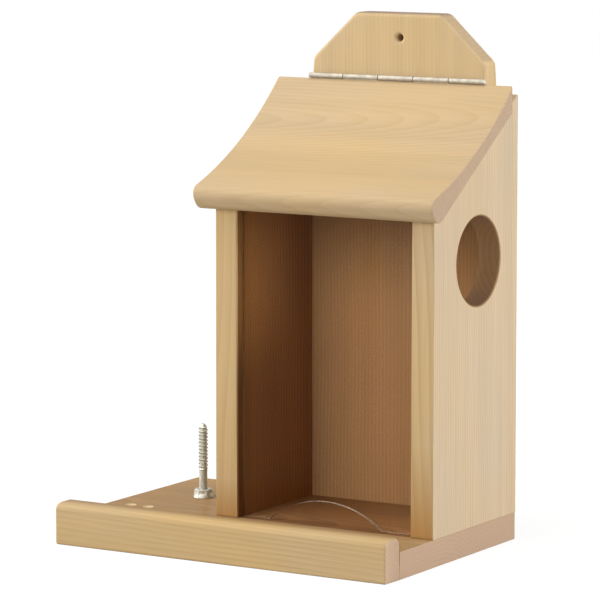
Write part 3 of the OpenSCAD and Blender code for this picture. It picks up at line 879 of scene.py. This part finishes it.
class FEEDER_OT_front_lip(bpy.types.Operator):
    """Make the rounded strip along the front of the base"""

    bl_idname = "feeder.front_lip"
    bl_label = "Front Lip"

    def execute(self, context):
        boards = context.scene.feeder_boards
        low, high = BOX["front_lip"]
        foot, top, at_base = boards.lip_foot, boards.lip_round, boards.joint_ease * 1.5
        outline = soften(rectangle(low.y, low.z, high.y, high.z), [foot, at_base, top, top], steps=8)

        def end_ease(point):
            """Rounding at the ends, small at the base and larger towards the top corners."""
            if point.x > high.y - at_base * 1.01 and point.y < low.z + at_base * 1.01:
                return boards.joint_ease
            rise = (point.y - (high.z - top)) / top
            return boards.lip_end + (boards.lip_corner - boards.lip_end) * min(1.0, max(0.0, rise)) ** 2

        place = Matrix.Translation((low.x, 0, 0)) @ END_PLANE
        lip = eased_board("front_lip_rounded", [outline], high.x - low.x, end_ease, place, steps=6)
        drill(lip, "lip_dowels", (0, 1, 0), DOWEL)
        looks = context.scene.feeder_wood
        # Drawn darker in a band along the back of the lip's top
        dark_y = high.y - top
        dark_band = (looks.lip_back_dark, "Y", dark_y, dark_y - looks.lip_back_dark_width)
        grown = wood("lip_pine", "X", (-0.16, -0.05), (0.0, -0.03), 4.1, ends=1.12, dark_band=dark_band)
        dress(lip, "box", "base_wood", [grown], "front_lip")
        return {"FINISHED"}


class FEEDER_OT_sides(bpy.types.Operator):
    """Make the two upright sides with their window grooves, and the entry hole in the right one"""

    bl_idname = "feeder.sides"
    bl_label = "Sides"

    def execute(self, context):
        heart, lean = (0.20, 0.16), (0.0, -0.03)
        foot = BOX["right_side"][0].z
        looks = context.scene.feeder_wood
        # Painted shade on the front faces towards the right side's foot, and painted sheen that draws its
        # faces looking along X paler and less saturated
        dark_band = (looks.foot_shade, "Z", foot, foot + looks.right_shade_height)
        right = wood("right_pine", "Z", heart, lean, 8.9, pale=0.8, dark_band=dark_band, front_only=True)
        # Painted shade on the entry hole's cut wall, by a share of the inner faces' darker tone
        cut = wood("entry_pine", "Z", heart, lean, 8.9, dark=0.65)
        self.side(context, "right_side", [right, cut])
        # Painted shade on the front faces towards the left side's foot
        dark_band = (looks.foot_shade, "Z", foot, foot + looks.left_shade_height)
        left = wood("left_pine", "Z", (-0.09, 0.12), (0.0, -0.02), 6.3, dark_band=dark_band, front_only=True)
        self.side(context, "left_side", [left])
        return {"FINISHED"}

    @staticmethod
    def side(context, name, finishes):
        """Side with its groove and the holes of its fixings."""
        boards, window = context.scene.feeder_boards, context.scene.feeder_window
        low, high = BOX[name]
        front_top = high.z - (high.y - low.y) * math.tan(context.scene.feeder_roof.pitch)
        outline = soften(
            [Vector(p) for p in ((low.y, low.z), (high.y, low.z), (high.y, high.z), (low.y, front_top))],
            [boards.foot_corner, boards.foot_corner, boards.back_corner, boards.corner_round],
        )
        loops = [outline]
        if name == "right_side":
            entry = (low.y + boards.entry_back, low.z + boards.entry_up)
            loops.append(hole(entry, boards.entry_diameter / 2))

        def ease(point):
            at_foot = point.y < low.z + boards.foot_corner * 1.1
            return boards.joint_ease if at_foot else boards.edge_ease

        place = Matrix.Translation((low.x, 0, 0)) @ END_PLANE
        side = eased_board(name + "_eased", loops, high.x - low.x, ease, place, rim_finish=(0, 1))
        pane_low, pane_high = BOX["window_pane"]
        clear, depth = window.groove_clear, window.groove_depth
        inner, inwards = (high.x, 1) if name == "left_side" else (low.x, -1)
        ends = sorted((inner - inwards * depth, inner + inwards * PAST * 2))
        combine(side, [block(
            "groove", (ends[0], pane_low.y - clear, low.z - PAST),
            (ends[1], pane_high.y + clear, high.z + PAST),
        )])
        drill(side, name + "_dowels", (-inwards, 0, 0), DOWEL)
        drill(side, "base_screws_sides", (0, 0, 1), WOOD_SCREW)
        dress(side, "box", "box_wood", finishes, name)


class FEEDER_OT_back_board(bpy.types.Operator):
    """Make the back board, which ends in the hanging plate above the roof"""

    bl_idname = "feeder.back_board"
    bl_label = "Back Board"

    def execute(self, context):
        boards = context.scene.feeder_boards
        low, high = BOX["back_board"]
        wide, tall = boards.plate_cut_width, boards.plate_cut_height
        corners = [
            (low.x, low.z), (high.x, low.z), (high.x, high.z - tall),
            (high.x - wide, high.z), (low.x + wide, high.z), (low.x, high.z - tall),
        ]
        outline = [Vector(p) for p in corners]
        plate_foot = BOX["left_side"][1].z
        # A point on each long edge lets the joint's easing end where the plate begins
        outline.insert(2, Vector((high.x, plate_foot)))
        outline.append(Vector((low.x, plate_foot)))
        outline = soften(
            outline, [boards.foot_corner] * 2 + [0.0] + [boards.plate_round] * 4 + [0.0]
        )
        middle = Vector(((low.x + high.x) / 2 + boards.hang_right, high.z - boards.hang_drop))
        loops = [outline, hole(middle, boards.hang_diameter / 2, steps=32)]

        def ease(point):
            return boards.plate_ease if point.y > plate_foot + MERGE else boards.joint_ease

        place = Matrix.Translation((0, high.y, 0)) @ FRONT_PLANE
        board = eased_board("back_board_eased", loops, high.y - low.y, ease, place)
        drill(board, "left_side_dowels", (-1, 0, 0), DOWEL)
        drill(board, "right_side_dowels", (1, 0, 0), DOWEL)
        drill(board, "base_screws_back", (0, 0, 1), WOOD_SCREW)
        drill(board, "hinge_screws_back", (0, 1, 0), HINGE_SCREW)
        # The end grain is drawn darker still as painted shade on the plate's cut corners, and the faces
        # round the food get painted shade
        grown = wood("back_pine", "Z", (0.32, 0.12), (0.0, -0.02), 12.4, (1.06, 1.10, 1.17),
                     ends=0.66, bold=0.45, inner_shade=0.88)
        dress(board, "box", "box_wood", [grown], "back_board")
        return {"FINISHED"}


class FEEDER_OT_roof(bpy.types.Operator):
    """Make the scooped roof with its rounded nose"""

    bl_idname = "feeder.roof"
    bl_label = "Roof"

    def execute(self, context):
        shape = context.scene.feeder_roof
        low, high = BOX["roof"]
        side_low, side_high = BOX["left_side"]
        slope = math.tan(shape.pitch)
        foot_z = side_high.z + shape.seat_gap - (side_high.y - high.y) * slope
        reach = (high.y - side_low.y) / math.cos(shape.pitch) + shape.nose_over
        outline = self.profile(shape, reach, high.z - foot_z)
        u = Vector((0, -math.cos(shape.pitch), -math.sin(shape.pitch)))
        v = Vector((0, -math.sin(shape.pitch), math.cos(shape.pitch)))
        place = Matrix((u, v, u.cross(v))).transposed().to_4x4()
        place.translation = (high.x, high.y, foot_z)
        roof = eased_board("roof_scooped", [outline], high.x - low.x, shape.end_ease, place)
        drill(roof, "hinge_screws_roof", (0, -1, 0), HINGE_SCREW)
        grown = wood("roof_pine", "X", (0.0595, 0.3073), (0.105, -0.039), 15.2,
                     (0.98, 1.01, 1.11), ends=0.95, bold=0.6, dark=0.0)
        dress(roof, "roof", "roof_wood", [grown], "roof")
        return {"FINISHED"}

    @staticmethod
    def profile(shape, reach, back_height):
        """End outline: first along the underside from the back, then square to it."""
        centre = Vector((shape.scoop_from_back, shape.thin + shape.scoop_radius))
        low_round = (reach - shape.nose_low, shape.nose_low)
        top_u = reach - shape.nose_top
        drop = math.sqrt((shape.scoop_radius + shape.nose_top) ** 2 - (top_u - centre.x) ** 2)
        top_round = Vector((top_u, centre.y - drop))
        towards = (centre - top_round).normalized()
        back_top = Vector((-math.sin(shape.pitch), math.cos(shape.pitch))) * back_height
        ends = [math.atan2(*(p - centre).yx) for p in (top_round + towards * shape.nose_top, back_top)]
        loop = [Vector((0.0, 0.0))]
        loop += arc(low_round, shape.nose_low, -math.pi / 2, 0, 10)
        loop += arc(top_round, shape.nose_top, 0, math.atan2(towards.y, towards.x), 12)
        loop += arc(centre, shape.scoop_radius, ends[0], ends[1], 48)[1:]
        return loop


class FEEDER_OT_window(bpy.types.Operator):
    """Make the clear pane with the feeding arch in its lower edge"""

    bl_idname = "feeder.window"
    bl_label = "Window"

    def execute(self, context):
        window = context.scene.feeder_window
        low, high = BOX["window_pane"]
        half, rise = window.arch_width / 2, window.arch_height
        radius = (half ** 2 + rise ** 2) / (2 * rise)
        middle = (low.x + high.x) / 2 - window.arch_left
        centre = (middle, low.z + rise - radius)
        start = math.pi / 2 + math.asin(half / radius)
        arch = arc(centre, radius, start, math.pi - start, 48)
        corners = rectangle(low.x, low.z, high.x, high.z)
        outline = soften(corners[:1] + arch + corners[1:], window.edge_ease * 1.5)
        place = Matrix.Translation((0, high.y, 0)) @ FRONT_PLANE
        pane = eased_board(
            "window_pane_polished", [outline], high.y - low.y, window.edge_ease, place, rim_finish=[1]
        )
        finishes = [acrylic("clear_sheet"), acrylic_edge("clear_sheet_edge")]
        dress(pane, "window", "clear_acrylic", finishes, "window_pane")
        return {"FINISHED"}


class FEEDER_OT_hinge(bpy.types.Operator):
    """Make the two rolled hinge leaves and their pin"""

    bl_idname = "feeder.hinge"
    bl_label = "Hinge"

    def execute(self, context):
        looks = context.scene.feeder_metal
        zinc = metal("zinc_sheet", looks.sheet, looks.sheet_dull, 260.0, 0.62, scratch_axis=0)
        back_face, roof_face = BOX["back_board"][0].y, BOX["roof"][1].y
        sheet = context.scene.feeder_hinge.sheet
        back = self.leaf(context, "hinge_leaf_back", back_face - sheet, 0)
        drill(back, "hinge_screws_back", (0, 1, 0), HINGE_SCREW)
        dress(back, "box", "zinc_sheet", [zinc], "hinge_leaf_back")
        roof = self.leaf(context, "hinge_leaf_roof", roof_face, 1)
        drill(roof, "hinge_screws_roof", (0, -1, 0), HINGE_SCREW)
        dress(roof, "roof", "zinc_sheet", [zinc], "hinge_leaf_roof")
        wire = metal("drawn_wire", looks.wire, looks.zinc_dull, 300.0, 0.26, scratch_axis=0)
        dress(self.pin(), "box", "steel_wire", [wire], "hinge_pin")
        return {"FINISHED"}

    @staticmethod
    def leaf(context, name, plate_y, first):
        """Leaf whose sheet starts at plate_y and which owns every second knuckle."""
        hinge = context.scene.feeder_hinge
        low, high = BOX[name]
        pin_low, pin_high = BOX["hinge_pin"]
        pin = (pin_low + pin_high) / 2
        barrel = high.z - pin.z
        bore = (pin_high.z - pin_low.z) / 2 + hinge.pin_clear
        left, right = pin_low.x, pin_high.x
        plate_top = pin.z - barrel - hinge.knuckle_gap
        outline = soften(
            rectangle(left, low.z, right, plate_top),
            [hinge.corner_round] * 2 + [hinge.root_round] * 2,
        )
        place = Matrix.Translation((0, plate_y + hinge.sheet, 0)) @ FRONT_PLANE
        leaf = eased_board(name + "_rolled", [outline], hinge.sheet, hinge.edge_ease, place)
        front, behind = plate_y - pin.y, plate_y + hinge.sheet - pin.y
        start = -math.acos(behind / barrel) if behind < barrel else -hinge.meeting
        end = 2 * math.pi - math.acos(front / barrel)
        roll = [Vector((y, plate_top - hinge.lap)) for y in (plate_y, plate_y + hinge.sheet)]
        if behind >= barrel:
            roll.append(Vector((plate_y + hinge.sheet, pin.z - hinge.bend * barrel)))
        roll += arc((pin.y, pin.z), barrel, start, end, 40)
        loops = [roll, hole((pin.y, pin.z), bore, steps=32)]
        pitch = (right - left) / hinge.knuckles
        for index in range(first, hinge.knuckles, 2):
            at = left + index * pitch + hinge.knuckle_gap / 2
            knuckle = eased_board(
                "knuckle", loops, pitch - hinge.knuckle_gap, hinge.edge_ease,
                Matrix.Translation((at, 0, 0)) @ END_PLANE,
            )
            combine(leaf, [knuckle], "UNION")
        return leaf

    @staticmethod
    def pin():
        """Straight pin with domed ends."""
        low, high = BOX["hinge_pin"]
        radius, reach = (high.z - low.z) / 2, high.x - low.x
        dome = [(radius * math.sin(t), radius * 0.5 * (1 - math.cos(t)))
                for t in (math.pi / 12 * step for step in range(1, 7))]
        profile = [(0, 0)] + dome
        profile += [(r, reach - z) for r, z in reversed(dome)] + [(0, reach)]
        middle = (low + high) / 2
        place = Matrix.Translation((low.x, middle.y, middle.z)) @ Matrix.Rotation(math.pi / 2, 4, "Y")
        return turned("hinge_pin_domed", profile, place, steps=32)


class FEEDER_OT_cob_screw(bpy.types.Operator):
    """Make the corn cob screw with its flange nut, washer and lower nut"""

    bl_idname = "feeder.cob_screw"
    bl_label = "Corn Cob Screw"

    def execute(self, context):
        looks, screw = context.scene.feeder_metal, context.scene.feeder_cob_screw
        zinc = metal("zinc_bolt", looks.zinc, looks.zinc_dull, 320.0, 0.48)
        low, high = BOX["cob_screw"]
        x, y = (low.x + high.x) / 2, (low.y + high.y) / 2
        rod = self.rod(screw, low, high, Matrix.Translation((x, y, 0)))
        dress(rod, "box", "zinc_bolt", [zinc], "cob_screw")
        for name, node_name, profile, steps in (
            ("cob_flange_nut_forged", "cob_flange_nut", self.flange_nut, 96),
            ("cob_washer_pressed", "cob_washer", self.washer, 64),
            ("cob_lower_nut_forged", "cob_lower_nut", self.lower_nut, 96),
        ):
            low, high = BOX[node_name]
            bore = screw.shank_diameter / 2 + screw.nut_clear
            points = profile(screw, bore, high - low)
            place = Matrix.Translation((x, y, low.z))
            ring = turned(name, points, place, steps=steps, closed=True)
            dress(ring, "box", "zinc_bolt", [zinc], node_name)
        return {"FINISHED"}

    @staticmethod
    def hexagon(screw, past_corner=0.0):
        """Radius of a hexagon with softened corners, kept inside a round rim near its corners."""
        half = screw.across_flats / 2
        rim = half / math.cos(math.pi / 6) + past_corner

        def radius(t):
            faces = (max(0.0, math.cos(t - k * math.pi / 3)) for k in range(6))
            return min(rim, half / sum(f ** 60 for f in faces) ** (1 / 60))
        return radius

    @classmethod
    def crown(cls, screw):
        """Chamfered end of a nut, as radii and their distances from the end."""
        return [
            (screw.across_flats / 2 * 0.97, 0.0),
            (cls.hexagon(screw, -screw.edge_break), screw.nut_crown),
            (cls.hexagon(screw), screw.nut_chamfer),
        ]

    @classmethod
    def flange_nut(cls, screw, bore, size):
        """Profile of a hexagon nut on a round flange."""
        flange, tall = size.x / 2, size.z
        cut, sunk = screw.edge_break, screw.bore_chamfer
        edge, bevel = screw.flange_edge, screw.flange_break
        slope = (flange * 0.5 + screw.across_flats / 2 * 0.55, screw.flange_slope)
        return [
            (bore + cut, 0), (flange - cut, 0), (flange, bevel), (flange, edge - cut),
            (flange - bevel, edge), slope, (cls.hexagon(screw, cut / 2), screw.flange_rise),
            *((radius, tall - depth) for radius, depth in reversed(cls.crown(screw))),
            (bore + sunk, tall), (bore, tall - sunk), (bore, cut),
        ]

    @staticmethod
    def washer(screw, bore, size):
        """Profile of a pressed washer, rounder at its lower edge."""
        rim, thick = size.x / 2, size.z
        cut = screw.edge_break
        burr = cut / 2
        return [
            (bore, burr / 2), (bore + burr / 2, 0), (rim - cut, 0), (rim, cut), (rim, thick - burr),
            (rim - burr, thick), (bore + burr, thick), (bore, thick - burr),
        ]

    @classmethod
    def lower_nut(cls, screw, bore, size):
        """Profile of a hexagon nut with its chamfered end below."""
        tall, sunk, burr = size.z, screw.bore_chamfer, screw.edge_break / 2
        return [
            (bore + sunk, 0), *cls.crown(screw), (cls.hexagon(screw), tall - burr),
            (cls.hexagon(screw, -burr), tall), (bore, tall), (bore, sunk),
        ]

    @staticmethod
    def rod(screw, low, high, place):
        """Smooth shank that runs out into a coarse wood thread with a point."""
        turn_steps, pitch_steps = 48, 10
        # Roundness of the point, half a ridge's width in pitches, part of the point with a thread
        roundness, ridge_half, threaded = 2.2, 0.3, 0.75
        shank, root = screw.shank_diameter / 2, screw.root_diameter / 2
        crest = (high.x - low.x) / 2
        foot = high.z - screw.thread_length
        taper = screw.thread_length - screw.point_length
        pitch = screw.thread_pitch

        def core(rise):
            """Radius between the ridges at a height above the thread's foot."""
            if rise > taper:
                point = min(1.0, (rise - taper) / screw.point_length)
                return max(screw.tip, root * math.sqrt(1 - point ** roundness))
            return shank + (root - shank) * min(1.0, rise / screw.run_in)

        def ridge(rise, step):
            """Height of the ridge, thin at the crest, low where the thread runs in and out."""
            peak = max(0.0, 1.0 - abs(step % pitch_steps - pitch_steps / 2) / (pitch_steps * ridge_half))
            inwards = min(1.0, rise / pitch)
            outwards = min(1.0, max(0.0, taper + threaded * screw.point_length - rise) / pitch)
            return (crest - root) * peak * inwards * outwards

        shape = bmesh.new()

        def ring_point(radius, step, z):
            t = 2 * math.pi * step / turn_steps
            return shape.verts.new((radius * math.cos(t), radius * math.sin(t), z))

        chamfer = shank / 5
        rows = [[ring_point(r, k, z) for k in range(turn_steps)]
                for r, z in ((shank - chamfer, low.z), (shank, low.z + chamfer), (shank, foot))]
        bottom = rows[0]
        faces = [
            (a[k - 1], a[k], b[k], b[k - 1]) for a, b in zip(rows, rows[1:]) for k in range(turn_steps)
        ]
        # Each column climbs by its share of a turn, so the ridge's rows follow the thread
        climb = math.ceil(screw.thread_length / pitch) + 1
        grid = []
        for step in range((climb + 1) * pitch_steps + 1):
            row = []
            for k in range(turn_steps):
                rise = (step / pitch_steps - 1 + k / turn_steps) * pitch
                rise = min(screw.thread_length, max(0.0, rise))
                row.append(ring_point(core(rise) + ridge(rise, step), k, foot + rise))
            grid.append(row)
        for step in range(len(grid) - 1):
            for k in range(turn_steps - 1):
                faces.append((grid[step][k], grid[step][k + 1], grid[step + 1][k + 1], grid[step + 1][k]))
            if step + 1 + pitch_steps < len(grid):
                faces.append((
                    grid[step][-1], grid[step + pitch_steps][0],
                    grid[step + 1 + pitch_steps][0], grid[step + 1][-1],
                ))
        for corners in faces:
            shape.faces.new(corners)
        shape.faces.new(bottom)
        merge(shape)
        open_edges = [edge for edge in shape.edges if edge.is_boundary]
        bmesh.ops.holes_fill(shape, edges=open_edges)
        return add_mesh("cob_screw_threaded", shape, place)


class FEEDER_OT_fixings(bpy.types.Operator):
    """Give the frame's screws and dowels their finish"""

    bl_idname = "feeder.fixings"
    bl_label = "Screws and Dowels"

    def execute(self, context):
        metals, woods = context.scene.feeder_metal, context.scene.feeder_wood
        steel = metal("screw_steel", metals.screw, metals.zinc_dull, 420.0, 0.3)
        beech = wood("dowel_beech", "X", (0.0, 0.05), seed=21.0, raw=woods.dowel)
        for name, finish in (
            ("hinge_screws_back", steel), ("hinge_screws_roof", steel),
            ("base_screws_sides", steel), ("base_screws_back", steel),
            ("left_side_dowels", beech), ("right_side_dowels", beech), ("lip_dowels", beech),
        ):
            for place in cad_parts[name].material_slots:
                place.material = finish
        return {"FINISHED"}


class FEEDER_OT_stage(bpy.types.Operator):
    """Set the floor, the lights and the camera"""

    bl_idname = "feeder.stage"
    bl_label = "Stage"

    def execute(self, context):
        stage, scene = context.scene.feeder_stage, context.scene
        scene.view_settings.view_transform = "Standard"
        self.floor(stage)
        self.sky(scene, stage)
        for name, (azimuth, elevation) in LAMPS.items():
            self.lamp(stage, name, math.radians(azimuth), math.radians(elevation))
        camera = bpy.data.objects.new("camera", bpy.data.cameras.new("camera"))
        scene.collection.objects.link(camera)
        camera.location = stage.camera_place
        camera.rotation_euler = (math.pi / 2 - stage.camera_elevation, 0, stage.camera_azimuth)
        camera.data.lens, camera.data.sensor_width = stage.camera_lens, SENSOR_WIDTH
        camera.data.clip_end = stage.camera_reach
        scene.camera = camera
        return {"FINISHED"}

    @staticmethod
    def seen(tree):
        """1 for light that reaches the camera straight, by a mirror or through glass."""
        path = node(tree, "ShaderNodeLightPath").outputs
        seen = maths(tree, "MAXIMUM", path["Is Camera Ray"], path["Is Glossy Ray"])
        seen = maths(tree, "MAXIMUM", seen, path["Is Transmission Ray"])
        # Light that a dull surface scattered on its way is lamp light, not a view
        return maths(tree, "SUBTRACT", seen, path["Diffuse Depth"], clamp=True)

    def floor(self, stage):
        """Large pale floor that shows white and keeps a soft shadow."""
        shape = bmesh.new()
        bmesh.ops.create_grid(shape, x_segments=8, y_segments=8, size=stage.floor_reach)
        floor = add_mesh("floor", shape)
        finish, tree, shader = new_finish("pale_floor")
        feed(tree, shader, {
            "Base Color": (*stage.floor, 1.0), "Roughness": 0.9, "Specular IOR Level": 0.0,
        })
        shaded = node(tree, "ShaderNodeBsdfDiffuse", {"Color": (*stage.floor_shade, 1.0)})
        away = node(tree, "ShaderNodeVectorMath", {0: on_piece(tree)}, operation="LENGTH")
        glow = spread(
            tree, away.outputs["Value"], stage.glow_near, stage.glow_far, stage.floor_glow, 1.0
        )
        white = node(tree, "ShaderNodeEmission", {"Strength": glow})
        shown = node(tree, "ShaderNodeAddShader", {0: shaded.outputs[0], 1: white.outputs[0]})
        show(tree, "Material Output", self.seen(tree), shader, shown)
        floor.data.materials.append(finish)

    def sky(self, scene, stage):
        """Even light from all sides, seen as white."""
        world = bpy.data.worlds.new("studio")
        world.use_nodes = True
        tree = world.node_tree
        light = tree.nodes["Background"]
        feed(tree, light, {"Color": (1.0, 1.0, 1.0, 1.0), "Strength": stage.sky})
        white = node(tree, "ShaderNodeBackground", {"Color": (1.0, 1.0, 1.0, 1.0), "Strength": 1.0})
        show(tree, "World Output", self.seen(tree), light, white)
        scene.world = world

    @staticmethod
    def lamp(stage, name, azimuth, elevation):
        """Soft square lamp aimed at the feeder, placed by its angles."""
        light = bpy.data.lights.new(name + "_lamp", "AREA")
        light.energy, light.size = getattr(stage, name), stage.lamp_size
        lamp = bpy.data.objects.new(light.name, light)
        bpy.context.scene.collection.objects.link(lamp)
        flat = math.cos(elevation)
        way = Vector((math.sin(azimuth) * flat, -math.cos(azimuth) * flat, math.sin(elevation)))
        lamp.location = Vector(stage.lamp_aim) + way * stage.lamp_distance
        lamp.rotation_euler = way.to_track_quat("Z", "Y").to_euler()


PIECES = (
    FEEDER_OT_base_board, FEEDER_OT_front_lip, FEEDER_OT_sides, FEEDER_OT_back_board,
    FEEDER_OT_roof, FEEDER_OT_window, FEEDER_OT_hinge, FEEDER_OT_cob_screw,
    FEEDER_OT_fixings, FEEDER_OT_stage,
)


class FEEDER_PT_pieces(bpy.types.Panel):
    """Pieces of the feeder in the order they are made, with their sizes and colours"""

    bl_label = "Squirrel Feeder"
    bl_space_type = "VIEW_3D"
    bl_region_type = "UI"
    bl_category = "Feeder"

    def draw(self, context):
        for piece in PIECES:
            self.layout.operator(piece.bl_idname)
        for key, group in SETTINGS.items():
            box = self.layout.box()
            box.label(text=group.__doc__.rstrip("."))
            for name in group.__annotations__:
                box.prop(getattr(context.scene, key), name)


CLASSES = (*SETTINGS.values(), *PIECES, FEEDER_PT_pieces)


def register():
    for cls in CLASSES:
        bpy.utils.register_class(cls)
    for key, group in SETTINGS.items():
        setattr(bpy.types.Scene, key, bpy.props.PointerProperty(type=group))


def unregister():
    for key in SETTINGS:
        delattr(bpy.types.Scene, key)
    for cls in reversed(CLASSES):
        bpy.utils.unregister_class(cls)


def main():
    register()
    bpy.ops.feeder.base_board()
    bpy.ops.feeder.front_lip()
    bpy.ops.feeder.sides()
    bpy.ops.feeder.back_board()
    bpy.ops.feeder.roof()
    bpy.ops.feeder.window()
    bpy.ops.feeder.hinge()
    bpy.ops.feeder.cob_screw()
    bpy.ops.feeder.fixings()
    bpy.ops.feeder.stage()


if __name__ == "__main__":
    main()
